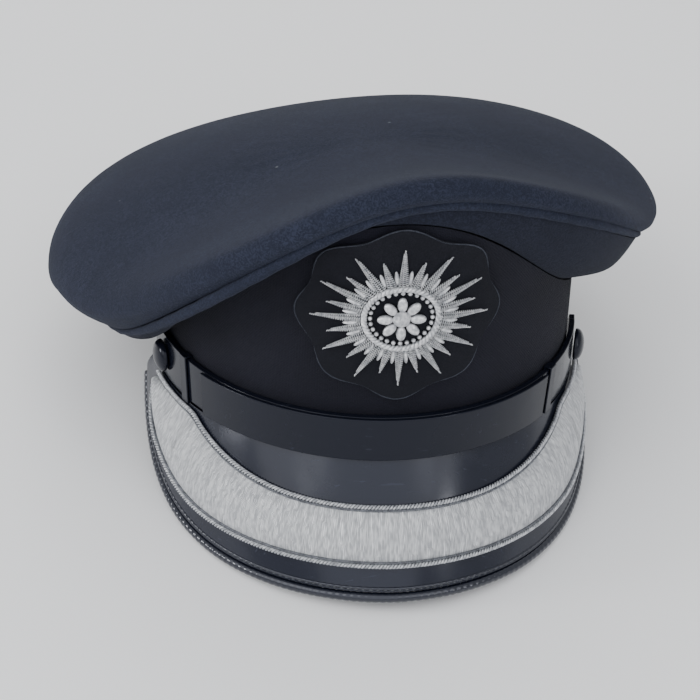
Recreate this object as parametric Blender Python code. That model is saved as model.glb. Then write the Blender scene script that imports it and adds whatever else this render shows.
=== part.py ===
"""A peaked dress cap with a soft round crown, a raised front and an embroidered peak.

The cap is worked out in its own frame: the band's lower edge is the plane z = 0, the front is -Y and
the wearer's left is +X. One empty then tips the whole cap back until it rests on the peak's rim and on
the rear of the band, and centres it over the origin. All lengths are metres, all angles degrees.
"""
import bpy
import bmesh
import numpy as np
from math import asin, atan2, hypot
from mathutils import Vector

GAP = 0.0003
SEAM_ROOM = 0.0011

# Band, worn round the head
HEAD_WIDTH = 0.170
HEAD_LENGTH = 0.202
BAND_WALL = 0.003
BAND_HEIGHT = 0.043
FRONT_HEIGHT = 0.101
FRONT_LEAN = 9.0

# Soft crown
CLOTH = 0.0018
OVERHANG = 0.031
QUARTER_RISE = 0.012
QUARTER_BELLY = 0.008
QUARTER_SLACK = 0.010
ROLL_BULGE = 0.021
ROLL_HEIGHT = 0.031
ROLL_TUCK = 0.011
CROWN_RISE = 0.059
CROWN_FORWARD = 0.019
CROWN_FLATNESS = 1.9
CROWN_RINGS = (1.0, 0.78, 0.52, 0.26, 0.0)
EDGE_SHARE = 0.45
SEAT_DEPTH = 0.001
LIP_REACH = 0.0011
WELT_LEAN = 0.010
LEAN_REACH = 0.5
LEAN_EDGE = 0.4
LEAN_BELLY = 0.30
SLUMP = 6.0
TWIST = 5.2
WELT_DIAMETER = 0.003

# Peak, its embroidery and cords
PEAK_WALL = 0.0025
PEAK_HALF_ANGLE = 84.0
PEAK_REACH = 0.0235
PEAK_DROP = 0.0495
PEAK_END_REACH = 0.007
PEAK_END_DROP = 0.009
PEAK_REACH_FADE = 1.4
PEAK_DROP_FADE = 4.2
PEAK_CAMBER = 0.0012
PEAK_SEAT_RISE = 0.007
BINDING_DIAMETER = 0.004
CORD_DIAMETER = 0.002
CORD_ROOM = 0.0007
PADDING_EDGE = 0.0008
PADDING_HEIGHT = 0.0030
PADDING_ROUNDNESS = 0.6
EMBROIDERY_HALF_ANGLE = 76.0
PADDING_HALF_ANGLE = 74.5
CORD_INNER_SHARE = 0.34
CORD_INNER_RISE = 0.30
CORD_BEND_ANGLE = 55.0
CORD_OUTER_SHARE = 0.765
TAPER_ANGLE = 45.0
TAPER_SPAN = 27.0
TAPER_RISE = 0.12
TIP_ANGLE = 69.0
TIP_RISE = 0.40

# Chin strap, keepers and side buttons
STRAP_WIDTH = 0.0185
STRAP_WALL = 0.0015
STRAP_HALF_ANGLE = 80.0
STRAP_END_ANGLE = 5.0
OVER_LEFT_ANGLE = 43.7
OVER_RIGHT_ANGLE = 50.5
KEEPER_LEFT_ANGLE = 47.2
KEEPER_RIGHT_ANGLE = 58.6
KEEPER_WIDTH = 0.005
KEEPER_WALL = 0.0008
BUTTON_ANGLE = 71.0
BUTTON_DIAMETER = 0.014
BUTTON_HEIGHT = 0.0045
BUTTON_EDGE = 0.0012
BUTTON_FOOT_SHARE = 0.86

# Badge on the front
BADGE_HEIGHT = 0.0635
FELT = 0.0015
FELT_HALF_WIDTH = 0.037
FELT_HALF_HEIGHT = 0.034
FELT_LOBES = 8
LOBE_DEPTH = 0.05
FELT_RINGS = (1.0, 0.8, 0.6, 0.4, 0.2, 0.0)
RAY_HALF_WIDTH = 0.0325
RAY_HALF_HEIGHT = 0.029
RAYS = 24
RAY_DEPTH = 0.05
BADGE_RINGS = (1.0, 0.8, 0.6, 0.4, 0.3, 0.15, 0.0)
BULLION_EDGE = 0.0012
BOSS_RADIUS = 0.008
BOSS_HEIGHT = 0.0045
PETALS = 8

# Mesh fineness
COLUMNS = 48
PEAK_COLUMNS = 43
PEAK_ROWS = 6
STRAP_COLUMNS = 41
BADGE_COLUMNS = 48

# The crown's sections, each 30 degrees from the front round to the back. Every other column is a
# share: front_rise of the raised front, welt_rise of QUARTER_RISE, and the rest of their own sizes.
SECTION_COLUMNS = ("angle", "front_rise", "welt_rise", "overhang", "belly", "bulge", "roll", "tuck")
SECTIONS = (
    (0, 1.00, 0.58, 0.60, 0.00, 0.27, 0.41, 0.42),
    (30, 0.60, 1.08, 0.77, 0.15, 0.25, 0.45, 0.46),
    (60, 0.15, 0.10, 0.77, 0.70, 0.38, 0.68, 0.74),
    (90, 0.00, -0.60, 0.87, 1.00, 0.79, 0.93, 1.00),
    (120, 0.00, -0.33, 1.00, 1.00, 1.00, 0.97, 1.00),
    (150, 0.00, 0.08, 0.87, 1.00, 0.95, 0.96, 0.85),
    (180, 0.00, 0.17, 0.68, 1.00, 0.82, 0.99, 0.86),
)

half_width = HEAD_WIDTH / 2 + BAND_WALL
half_length = HEAD_LENGTH / 2 + BAND_WALL


def material(name, colour, roughness, metallic=0.0):
    made = bpy.data.materials.new(name)
    made.use_nodes = True
    shader = made.node_tree.nodes["Principled BSDF"]
    shader.inputs["Base Color"].default_value = (*colour, 1.0)
    shader.inputs["Roughness"].default_value = roughness
    shader.inputs["Metallic"].default_value = metallic
    return made


def section(column, angle):
    """One column of the section table, read smoothly at any angle, the same left and right."""
    table = np.array(SECTIONS, dtype=float)
    known = table[:, SECTION_COLUMNS.index(column)]
    waves = np.arange(len(SECTIONS))
    strengths = np.linalg.solve(np.cos(np.outer(np.radians(table[:, 0]), waves)), known)
    return np.cos(np.outer(np.radians(angle), waves)) @ strengths


def wall(angle, height, out=0.0):
    """Points of the band's outer face, moved out along the face's normal."""
    turn = np.radians(angle)
    ahead = np.stack([np.sin(turn) / half_width, -np.cos(turn) / half_length], -1)
    ahead = ahead / np.linalg.norm(ahead, axis=-1)[..., None]
    lean = np.radians(FRONT_LEAN) * np.clip(np.cos(turn), 0.0, 1.0) ** 2
    away = height * np.tan(lean) + out * np.cos(lean)
    flat = np.stack([half_width * np.sin(turn), -half_length * np.cos(turn)], -1)
    flat = flat + ahead * away[..., None]
    return np.concatenate([flat, (height - out * np.sin(lean))[..., None]], -1)


def band_top(angle):
    return BAND_HEIGHT + (FRONT_HEIGHT - BAND_HEIGHT) * section("front_rise", angle)


def slumped(points):
    """The soft crown leans to the wearer's right and is twisted a little on the band."""
    tip, turn = np.radians(SLUMP), np.radians(TWIST)
    x, y, z = points[..., 0], points[..., 1], points[..., 2] - BAND_HEIGHT
    x, z = x * np.cos(tip) - z * np.sin(tip), x * np.sin(tip) + z * np.cos(tip)
    x, y = x * np.cos(turn) - y * np.sin(turn), x * np.sin(turn) + y * np.cos(turn)
    return np.stack([x, y, z + BAND_HEIGHT], -1)


def ray(angle, reach, height):
    turn = np.radians(angle)
    return np.stack([reach * np.sin(turn), -reach * np.cos(turn), height], -1)


def normals(grid, closed):
    """A unit normal at each point of a grid, from the directions to its neighbours."""
    down = np.gradient(grid, axis=0)
    if closed:
        along = np.roll(grid, -1, axis=1) - np.roll(grid, 1, axis=1)
    else:
        along = np.gradient(grid, axis=1)
    across = np.cross(along, down)
    size = np.linalg.norm(across, axis=-1, keepdims=True)
    pole = size[..., 0] < 1e-12
    across = across / np.where(size < 1e-12, 1.0, size)
    across[pole] = across[-2].mean(axis=0) / np.linalg.norm(across[-2].mean(axis=0))
    return across


def node(name, mesh, finish, frame, sharp=40.0):
    made = bpy.data.objects.new(name, mesh)
    bpy.context.collection.objects.link(made)
    made.parent = frame
    mesh.materials.clear()
    mesh.materials.append(finish)
    if isinstance(mesh, bpy.types.Mesh):
        mesh.shade_smooth()
        mesh.set_sharp_from_angle(angle=np.radians(sharp))
    return made


def slab(name, under, over, finish, frame, closed=False):
    """A closed solid between two grids of points that have the same rows and columns."""
    rows, columns = over.shape[:2]
    build = bmesh.new()
    low = [[build.verts.new(p) for p in row] for row in under]
    high = [[build.verts.new(p) for p in row] for row in over]
    last = columns if closed else columns - 1
    for r in range(rows - 1):
        for c in range(last):
            d = (c + 1) % columns
            build.faces.new((high[r][c], high[r][d], high[r + 1][d], high[r + 1][c]))
            build.faces.new((low[r][c], low[r + 1][c], low[r + 1][d], low[r][d]))
    for c in range(last):
        d = (c + 1) % columns
        build.faces.new((low[0][c], low[0][d], high[0][d], high[0][c]))
        build.faces.new((high[-1][c], high[-1][d], low[-1][d], low[-1][c]))
    if not closed:
        for r in range(rows - 1):
            build.faces.new((high[r][0], high[r + 1][0], low[r + 1][0], low[r][0]))
            build.faces.new((low[r][-1], low[r + 1][-1], high[r + 1][-1], high[r][-1]))
    bmesh.ops.remove_doubles(build, verts=build.verts, dist=1e-6)
    bmesh.ops.dissolve_degenerate(build, edges=build.edges, dist=1e-7)
    bmesh.ops.recalc_face_normals(build, faces=build.faces)
    mesh = bpy.data.meshes.new(name)
    build.to_mesh(mesh)
    build.free()
    return node(name, mesh, finish, frame)


def tube(name, points, diameter, finish, frame, closed=False, fineness=2):
    curve = bpy.data.curves.new(name, "CURVE")
    curve.dimensions = "3D"
    curve.bevel_depth = diameter / 2
    curve.bevel_resolution = fineness
    curve.use_fill_caps = not closed
    spline = curve.splines.new("POLY")
    spline.points.add(len(points) - 1)
    spline.points.foreach_set("co", np.c_[points, np.ones(len(points))].ravel())
    spline.use_cyclic_u = closed
    return node(name, curve, finish, frame)


def flowing(knots, first, last, steps):
    """Rows of points from knot first to knot last on a smooth curve through all the knots."""
    rows = []
    for k in range(first, last):
        before, start, end, after = (knots[min(max(k + n, 0), len(knots) - 1)] for n in (-1, 0, 1, 2))
        for t in np.arange(steps) / steps:
            leave, arrive = (end - before) / 2, (after - start) / 2
            rows.append((2 * t**3 - 3 * t**2 + 1) * start + (t**3 - 2 * t**2 + t) * leave
                        + (3 * t**2 - 2 * t**3) * end + (t**3 - t**2) * arrive)
    rows.append(knots[last])
    return np.array(rows)


def band_angle(angle):
    """The band's own angle where it is met by a ray from the middle."""
    turn = np.radians(angle)
    return np.degrees(np.arctan2(half_length * np.sin(turn), half_width * np.cos(turn)))


def crown_knots(angle):
    """Knots of the crown's section at each angle: band, quarter, welt, rolled edge and top."""
    turn = np.radians(angle)
    around = band_angle(angle)
    top = band_top(around)
    seat = wall(around, top + SEAM_ROOM, -SEAT_DEPTH)
    lip = wall(around, top + SEAM_ROOM, LIP_REACH)
    radius = 1.0 / np.hypot(np.sin(turn) / half_width, np.cos(turn) / half_length)
    reach = radius + OVERHANG * section("overhang", angle)
    height = top + QUARTER_RISE * section("welt_rise", angle)
    bulge = ROLL_BULGE * section("bulge", angle)
    roll = ROLL_HEIGHT * section("roll", angle)
    tuck = ROLL_TUCK * section("tuck", angle)
    lean = WELT_LEAN * np.clip(np.sin(turn), 0.0, 1.0) ** 2
    welt = slumped(ray(angle, reach + lean * LEAN_REACH, height + lean))
    edge = slumped(ray(angle, reach + bulge, height + EDGE_SHARE * roll + LEAN_EDGE * lean))
    rim = ray(angle, reach + bulge - tuck, height + roll)
    middle = np.array([0.0, -CROWN_FORWARD, BAND_HEIGHT + CROWN_RISE])
    tops = []
    for share in CROWN_RINGS:
        point = middle + (rim - middle) * share
        point[:, 2] = middle[2] + (rim[:, 2] - middle[2]) * share ** CROWN_FLATNESS
        tops.append(slumped(point))
    sag = (QUARTER_BELLY + QUARTER_SLACK * np.clip(-np.sin(turn), 0.0, 1.0)) * section("belly", angle)
    droop = sag[:, None] * np.array([0.0, 0.0, 1.0])
    along = np.roll(welt, -1, axis=0) - np.roll(welt, 1, axis=0)
    along = along / np.linalg.norm(along, axis=-1, keepdims=True)
    ahead = edge - (lip + welt) / 2 + droop
    ahead = ahead / np.linalg.norm(np.cross(along, ahead), axis=-1, keepdims=True)
    seam = ahead * (WELT_DIAMETER / 2 + 1.5 * GAP)
    belly = (lip + welt - seam) / 2 - droop + ray(angle, LEAN_BELLY * lean, np.zeros_like(lean))
    return {"quarter": [seat, lip, belly, welt - seam, welt],
            "top": [welt, welt + seam, edge, *tops], "welt": welt}


def crown(finish, frame):
    """The quarters and the top are one flowing section, parted at the welt."""
    angle = np.arange(COLUMNS) * 360.0 / COLUMNS
    knots = crown_knots(angle)
    quarter = flowing(knots["quarter"], 0, 3, 2)
    top = np.concatenate([flowing(knots["top"], 1, 3, 3), flowing(knots["top"], 3, 7, 1)[1:]])
    across_seam = normals(np.stack([quarter[-1], knots["welt"], top[0]]), True)[1]
    below, above = normals(quarter, True), normals(top, True)
    below[-1] = above[0] = across_seam
    slab("crown_quarters", quarter - CLOTH * below, quarter, finish, frame, closed=True)
    slab("crown_top", top - CLOTH * above, top, finish, frame, closed=True)
    seam = knots["welt"] - CLOTH / 2 * across_seam
    tube("welt", seam, WELT_DIAMETER, finish, frame, closed=True, fineness=1)


def band(finish, frame):
    angle = band_angle(np.arange(COLUMNS) * 360.0 / COLUMNS)
    shares = np.linspace(0.0, 1.0, 4)
    faces = []
    for out in (-BAND_WALL, 0.0):
        face = np.array([wall(angle, band_top(angle) * s, np.full(COLUMNS, out)) for s in shares])
        face[0, :, 2] = 0.0
        face[-1, :, 2] = band_top(angle)
        faces.append(face)
    slab("band", faces[0], faces[1], finish, frame, closed=True)


def peak_face(angle, share):
    """Points of the peak's upper face: share 0 is at the band and 1 is at the rim."""
    turn = np.radians(angle)
    span = np.clip(np.abs(angle) / PEAK_HALF_ANGLE, 0.0, 1.0)
    reach = PEAK_END_REACH + (PEAK_REACH - PEAK_END_REACH) * (1.0 - span ** PEAK_REACH_FADE)
    drop = PEAK_END_DROP + (PEAK_DROP - PEAK_END_DROP) * (1.0 - span ** PEAK_DROP_FADE)
    slope = np.hypot(reach, drop)
    camber = PEAK_CAMBER * np.sin(np.pi * share)
    seat = PEAK_WALL + GAP
    out = seat + (reach - seat) * share + camber * drop / slope
    base = wall(angle, np.zeros_like(angle), out)
    fall = PEAK_SEAT_RISE * (1.0 - np.cos(turn)) - drop * share + camber * reach / slope
    base[..., 2] = fall
    return base


def peak_up(grid):
    """The peak's rows run down to its rim, so its upward side is the other way round."""
    return -normals(grid, False)


def beside(angle, share, distance):
    """The change of share that keeps a distance from a line on the peak, however the line slants."""
    along = np.gradient(peak_face(angle, share), axis=0)
    down = (peak_face(angle, share + 0.01) - peak_face(angle, share - 0.01)) / 0.02
    along = along / np.linalg.norm(along, axis=-1, keepdims=True)
    return distance / np.linalg.norm(np.cross(along, down), axis=-1)


def peak_grid(angle, start, end, rows):
    share = start + (end - start) * np.linspace(0.0, 1.0, rows)[:, None]
    return peak_face(np.broadcast_to(angle, share.shape).copy(), share)


def peak(finish, frame):
    angle = np.linspace(-PEAK_HALF_ANGLE, PEAK_HALF_ANGLE, PEAK_COLUMNS)
    stop = 1.0 - beside(angle, np.ones_like(angle), BINDING_DIAMETER / 2 + GAP)
    over = peak_grid(angle, np.zeros_like(angle), stop, PEAK_ROWS)
    slab("peak", over - PEAK_WALL * peak_up(over), over, finish, frame)
    edge = binding_line(angle)
    tube("peak_binding", edge, BINDING_DIAMETER, finish, frame)


def binding_line(angle):
    rows = peak_grid(angle, np.full_like(angle, 0.96), np.ones_like(angle), 3)
    return rows[-1] - PEAK_WALL / 2 * peak_up(rows)[-1]


def embroidery_edges(angle):
    """Shares of the peak's width where the two cords run. Both ends close to a blunt tip."""
    away = np.abs(angle)
    inner = CORD_INNER_SHARE - CORD_INNER_RISE * np.clip(away / CORD_BEND_ANGLE, 0.0, 1.0) ** 3
    taper = np.clip((away - TAPER_ANGLE) / TAPER_SPAN, 0.0, None) ** 2
    tip = np.clip((away - TIP_ANGLE) / (EMBROIDERY_HALF_ANGLE - TIP_ANGLE), 0.0, 1.0) ** 2
    return inner, CORD_OUTER_SHARE - TAPER_RISE * taper - TIP_RISE * tip


def on_peak(angle, share, out):
    rows = peak_grid(angle, share - 0.01, share + 0.01, 3)
    return rows[1] + out * peak_up(rows)[1]


def embroidery(finish, frame):
    angle = np.linspace(-EMBROIDERY_HALF_ANGLE, EMBROIDERY_HALF_ANGLE, PEAK_COLUMNS)
    inner, outer = embroidery_edges(angle)
    lift = GAP + CORD_DIAMETER / 2
    tube("cord_inner", on_peak(angle, inner, lift), CORD_DIAMETER, finish, frame)
    tube("cord_outer", on_peak(angle, outer, lift), CORD_DIAMETER, finish, frame)
    angle = np.linspace(-PADDING_HALF_ANGLE, PADDING_HALF_ANGLE, PEAK_COLUMNS)
    inner, outer = embroidery_edges(angle)
    room = CORD_DIAMETER / 2 + CORD_ROOM
    inner, outer = inner + beside(angle, inner, room), outer - beside(angle, outer, room)
    base = peak_grid(angle, inner, outer, PEAK_ROWS)
    across = np.sin(np.pi * np.linspace(0.0, 1.0, PEAK_ROWS)) ** PADDING_ROUNDNESS
    height = GAP + PADDING_EDGE + (PADDING_HEIGHT - PADDING_EDGE) * across
    up = peak_up(base)
    slab("peak_embroidery", base + GAP * up, base + height[:, None, None] * up, finish, frame)


def strap_height(angle, share):
    clear = 2 * GAP + KEEPER_WALL
    low = PEAK_SEAT_RISE * (1.0 - np.cos(np.radians(angle))) + clear
    return low + STRAP_WIDTH * share


def strap_layer(name, right, left, out, round_end, finish, frame):
    angle = np.linspace(-right, left, STRAP_COLUMNS)
    end = np.clip((np.abs(angle) - (right - STRAP_END_ANGLE)) / STRAP_END_ANGLE, 0.0, 0.97)
    half = 0.5 * np.sqrt(1.0 - end ** 2) if round_end else np.full_like(angle, 0.5)
    faces = []
    for lift in (out, out + STRAP_WALL):
        faces.append(np.array([wall(angle, strap_height(angle, 0.5 + s * half), np.full_like(angle, lift))
                               for s in (-1.0, 1.0)]))
    slab(name, faces[0], faces[1], finish, frame)


def keeper(name, angle, out, finish, frame):
    """A flat loop round one strap layer."""
    half = np.degrees(KEEPER_WIDTH / 2 / half_length)
    loops = []
    for grow in (GAP, GAP + KEEPER_WALL):
        low, high = -grow / STRAP_WIDTH, 1.0 + grow / STRAP_WIDTH
        near, far = out - grow, out + STRAP_WALL + grow
        loop = []
        for share, lift in ((low, near), (high, near), (high, far), (low, far)):
            side = np.array([angle - half, angle + half])
            loop.append(wall(side, strap_height(side, share), np.full(2, lift)))
        loops.append(np.swapaxes(np.array(loop), 0, 1))
    slab(name, loops[0], loops[1], finish, frame, closed=True)


def button(name, angle, out, finish, frame):
    """A low domed button, turned about its own axis and set on the strap's end."""
    radius = BUTTON_DIAMETER / 2
    foot = radius * BUTTON_FOOT_SHARE
    profile = [(0.0, 0.0), (foot, 0.0), (radius, BUTTON_EDGE / 2), (radius, BUTTON_EDGE)]
    for turn in np.radians(np.arange(18.0, 90.1, 18.0)):
        profile.append((radius * np.cos(turn), BUTTON_EDGE + (BUTTON_HEIGHT - BUTTON_EDGE) * np.sin(turn)))
    build = bmesh.new()
    line = [build.verts.new((x, 0.0, z)) for x, z in profile]
    edges = [build.edges.new(pair) for pair in zip(line, line[1:])]
    bmesh.ops.spin(build, geom=line + edges, cent=(0, 0, 0), axis=(0, 0, 1), angle=2 * np.pi, steps=16)
    bmesh.ops.remove_doubles(build, verts=build.verts, dist=1e-6)
    bmesh.ops.recalc_face_normals(build, faces=build.faces)
    mesh = bpy.data.meshes.new(name)
    build.to_mesh(mesh)
    build.free()
    made = node(name, mesh, finish, frame)
    side, height = np.array([angle]), strap_height(np.array([angle]), 0.5)
    seat = wall(side, height, np.array([out]))[0]
    tip = wall(side, height, np.array([out + 1.0]))[0]
    made.location = seat
    made.rotation_euler = Vector(tip - seat).to_track_quat("Z", "Y").to_euler()
    return made


def strap(finish, frame):
    under = 2 * GAP + KEEPER_WALL
    over = under + STRAP_WALL + GAP
    strap_layer("strap_under", STRAP_HALF_ANGLE, STRAP_HALF_ANGLE, under, True, finish, frame)
    strap_layer("strap_over", OVER_RIGHT_ANGLE, OVER_LEFT_ANGLE, over, False, finish, frame)
    keeper("keeper_left", KEEPER_LEFT_ANGLE, under, finish, frame)
    keeper("keeper_right", -KEEPER_RIGHT_ANGLE, under, finish, frame)
    button("button_left", BUTTON_ANGLE, over, finish, frame)
    button("button_right", -BUTTON_ANGLE, over, finish, frame)


def on_front(across, up, out):
    """A point of the raised front, from distances measured on the cloth at the badge's middle."""
    radius = half_width + BADGE_HEIGHT * np.tan(np.radians(FRONT_LEAN))
    return wall(np.degrees(across / radius), BADGE_HEIGHT + up, out)


def medallion(name, reach_across, reach_up, height, low, shares, finish, frame):
    """A closed relief on the front: its outline and its height both follow the direction."""
    turn = np.arange(BADGE_COLUMNS) * 2 * np.pi / BADGE_COLUMNS
    faces = []
    for relief in (False, True):
        rows = []
        for share in shares:
            across, up = reach_across(turn) * share, reach_up(turn) * share
            lift = low + (height(turn, np.hypot(across, up), share) if relief else 0.0)
            rows.append(on_front(across, up, np.broadcast_to(lift, turn.shape)))
        faces.append(np.array(rows))
    slab(name, faces[0], faces[1], finish, frame, closed=True)


def badge(felt, bullion, frame):
    def scallop(turn):
        return 1.0 + LOBE_DEPTH * np.cos(FELT_LOBES * turn)

    def ray_tips(turn):
        return 1.0 - RAY_DEPTH + RAY_DEPTH * np.cos(RAYS * turn)

    def relief(turn, radius, share):
        boss = np.sqrt(np.clip(1.0 - (radius / BOSS_RADIUS) ** 2, 0.0, 1.0))
        ridge = (0.5 + 0.5 * np.cos(PETALS * turn)) * np.sin(np.pi * np.clip(share, 0.0, 1.0))
        return BULLION_EDGE + (BOSS_HEIGHT - BULLION_EDGE) * boss + BULLION_EDGE * ridge

    medallion("badge_backing", lambda t: FELT_HALF_WIDTH * scallop(t) * np.cos(t),
              lambda t: FELT_HALF_HEIGHT * scallop(t) * np.sin(t),
              lambda t, r, s: FELT, GAP, FELT_RINGS, felt, frame)
    medallion("badge", lambda t: RAY_HALF_WIDTH * ray_tips(t) * np.cos(t),
              lambda t: RAY_HALF_HEIGHT * ray_tips(t) * np.sin(t),
              relief, 2 * GAP + FELT, BADGE_RINGS, bullion, frame)


def rest(frame):
    """Tip the cap back onto the peak's rim and the rear of the band, and centre it."""
    line = binding_line(np.linspace(-PEAK_HALF_ANGLE, PEAK_HALF_ANGLE, PEAK_COLUMNS))
    tips = []
    for _, y, z in line:
        level, down = half_length - y, -z
        tips.append(atan2(down, level) + asin(BINDING_DIAMETER / 2 / hypot(level, down)))
    tip = max(tips)
    frame.rotation_euler = (-tip, 0.0, 0.0)
    frame.location = (0.0, 0.0, half_length * np.sin(tip))
    bpy.context.view_layer.update()
    corners = []
    graph = bpy.context.evaluated_depsgraph_get()
    for item in frame.children:
        shape = item.evaluated_get(graph).to_mesh()
        place = np.array(item.matrix_world)
        points = np.empty(len(shape.vertices) * 3)
        shape.vertices.foreach_get("co", points)
        points = points.reshape(-1, 3) @ place[:3, :3].T + place[:3, 3]
        corners.append(points.min(axis=0))
        corners.append(points.max(axis=0))
    corners = np.array(corners)
    middle = (corners.min(axis=0) + corners.max(axis=0)) / 2
    frame.location.x -= middle[0]
    frame.location.y -= middle[1]
    bpy.context.view_layer.update()
    print("cap tips back", round(float(np.degrees(tip)), 2), "degrees")


def main():
    for item in list(bpy.data.objects):
        bpy.data.objects.remove(item)
    wool = material("navy_wool", (0.020, 0.026, 0.042), 0.95)
    black = material("black_cloth", (0.011, 0.011, 0.016), 0.90)
    patent = material("black_patent", (0.008, 0.009, 0.012), 0.15)
    silver = material("silver_thread", (0.62, 0.62, 0.64), 0.45, 0.6)
    frame = bpy.data.objects.new("cap_axis", None)
    bpy.context.collection.objects.link(frame)
    crown(wool, frame)
    band(black, frame)
    peak(patent, frame)
    embroidery(silver, frame)
    strap(patent, frame)
    badge(black, silver, frame)
    rest(frame)


main()
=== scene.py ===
# %% [markdown]
# A peaked dress cap has a soft wool crown, a black cloth band with a raised front, a polished peak
# with silver embroidery, a chin strap, and a badge worked in silver wire on felt. The solids of
# the cap come ready made as a fixed frame. This lesson dresses each of them. The dressed cap has
# to stay inside it.

# %% Load the frame
import math
import bpy
import numpy as np
from mathutils import Matrix, Vector


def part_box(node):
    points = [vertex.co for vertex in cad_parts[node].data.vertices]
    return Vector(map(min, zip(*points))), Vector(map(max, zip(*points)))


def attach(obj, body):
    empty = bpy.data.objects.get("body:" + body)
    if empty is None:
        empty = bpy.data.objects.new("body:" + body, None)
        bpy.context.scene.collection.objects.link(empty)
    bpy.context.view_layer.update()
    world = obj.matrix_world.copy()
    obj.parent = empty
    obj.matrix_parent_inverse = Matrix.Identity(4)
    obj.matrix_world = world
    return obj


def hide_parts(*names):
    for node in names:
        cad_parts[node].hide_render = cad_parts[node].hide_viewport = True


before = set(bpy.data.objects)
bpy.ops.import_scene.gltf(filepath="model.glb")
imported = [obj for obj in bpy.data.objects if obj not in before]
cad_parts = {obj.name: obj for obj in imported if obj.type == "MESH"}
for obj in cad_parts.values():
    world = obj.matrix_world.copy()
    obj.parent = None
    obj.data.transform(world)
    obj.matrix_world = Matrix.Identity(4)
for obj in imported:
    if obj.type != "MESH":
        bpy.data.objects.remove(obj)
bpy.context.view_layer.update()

print("frame holds", len(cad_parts), "solids")

# %% [markdown]
# A cap is easiest to describe in its own frame, with the band's lower edge as its ground plane. On
# a table it tips back until it stands on the peak's rim and on the rear of the band. One matrix
# says that once, so every later step can work in the cap's own frame and still land on the solids.

# %% The cap's own frame
TIP = math.radians(14.03)
HALF_WIDTH, HALF_LENGTH = 0.088, 0.104
band_low, band_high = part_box("band")
cap = Matrix.Translation((
    (band_low.x + band_high.x) / 2,
    band_low.y + HALF_LENGTH * math.cos(TIP),
    HALF_LENGTH * math.sin(TIP),
)) @ Matrix.Rotation(-TIP, 4, "X")
cap_inverse = cap.inverted()


def round_angle(point):
    """How far round the cap a point is: 0 at the front, positive to the wearer's left."""
    local = cap_inverse @ Vector(point)
    return math.atan2(local.x, -local.y)


print("cap origin", tuple(round(c, 4) for c in cap.translation))

# %% [markdown]
# The camera stands where the photograph was taken from: in front, a little to one side and well
# above the table. Its place was worked out in the cap's own frame, so the same matrix moves it.

# %% Camera
AZIMUTH, ELEVATION, ROLL = (math.radians(a) for a in (-6.76, 23.66, 1.23))
AIM, DISTANCE = Vector((-0.00733, -0.0200, 0.00852)), 0.7443
LENS_MM, SENSOR_MM = 89.3, 36.0
back = Vector((math.sin(AZIMUTH) * math.cos(ELEVATION),
               -math.cos(AZIMUTH) * math.cos(ELEVATION),
               math.sin(ELEVATION)))
level = Vector((math.cos(AZIMUTH), math.sin(AZIMUTH), 0.0))
upright = back.cross(level)
right = level * math.cos(ROLL) + upright * math.sin(ROLL)
up = upright * math.cos(ROLL) - level * math.sin(ROLL)
turned = Matrix((right, up, back)).transposed().to_4x4()
bpy.ops.object.camera_add()
camera = bpy.context.object
camera.matrix_world = cap @ Matrix.Translation(AIM + back * DISTANCE) @ turned
camera.data.lens = LENS_MM
camera.data.sensor_width = SENSOR_MM
bpy.context.scene.camera = camera
print("camera at", tuple(round(c, 3) for c in camera.matrix_world.translation))

# %% [markdown]
# Threads, weave and dust turn up in several finishes, so each is a node group with named sockets.
# A group gives out a height or a mask, and the material decides what to do with it. Sizes are
# metres.

# %% Helpers for node trees
def group(name, inputs, outputs):
    """A new node group, with its own inputs and outputs to link to."""
    made = bpy.data.node_groups.new(name, "ShaderNodeTree")
    for label, kind, value in inputs:
        socket = made.interface.new_socket(label, in_out="INPUT", socket_type="NodeSocket" + kind)
        if value is not None:
            socket.default_value = value
    for label in outputs:
        made.interface.new_socket(label, in_out="OUTPUT", socket_type="NodeSocketFloat")
    taken = made.nodes.new("NodeGroupInput").outputs
    return made, taken, made.nodes.new("NodeGroupOutput").inputs


def fill_inputs(tree, node, inputs):
    """Sets each input of a node to a value, or links it to the socket of an earlier node."""
    for key, value in inputs.items():
        if isinstance(value, bpy.types.NodeSocket):
            tree.links.new(value, node.inputs[key])
        else:
            node.inputs[key].default_value = value
    return node.outputs


def add(tree, kind, inputs, **settings):
    made = tree.nodes.new("ShaderNode" + kind)
    for key, value in settings.items():
        setattr(made, key, value)
    return fill_inputs(tree, made, inputs)


def linked(tree, made_group, **inputs):
    node = tree.nodes.new("ShaderNodeGroup")
    node.node_tree = made_group
    return fill_inputs(tree, node, inputs)


print("node groups so far", len(bpy.data.node_groups))

# %% [markdown]
# Most steps of a pattern are small sums, soft steps and mixes of two colours. Each gets a short
# name here, so that a group reads like a recipe.

# %% Helpers for values and colours
def math_node(tree, operation, a, b=0.0, c=0.0):
    return add(tree, "Math", {0: a, 1: b, 2: c}, operation=operation)[0]


def ramp(tree, value, low, high, start=0.0, end=1.0):
    """A soft step from start to end, while the value goes from low to high."""
    return add(tree, "MapRange", {"Value": value, "From Min": low, "From Max": high,
                                  "To Min": start, "To Max": end},
               interpolation_type="SMOOTHSTEP")["Result"]


def blend_colour(tree, factor, first, second):
    return add(tree, "Mix", {0: factor, 6: first, 7: second}, data_type="RGBA")[2]


def opaque(red, green, blue):
    return (red, green, blue, 1.0)


def shaded(colour, times, plus=0.0):
    """The same colour, darker or lighter."""
    return opaque(*(c * times + plus for c in colour[:3]))


print("black, a little paler", shaded(opaque(0.0, 0.0, 0.0), 1.0, 0.002))

# %% [markdown]
# Milled wool has no visible weave. Its surface is a mat of short fibres: fine grains, longer hairs
# lying at random, soft clouds where the nap is brushed another way, and now and then a speck of
# lint.

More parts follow.
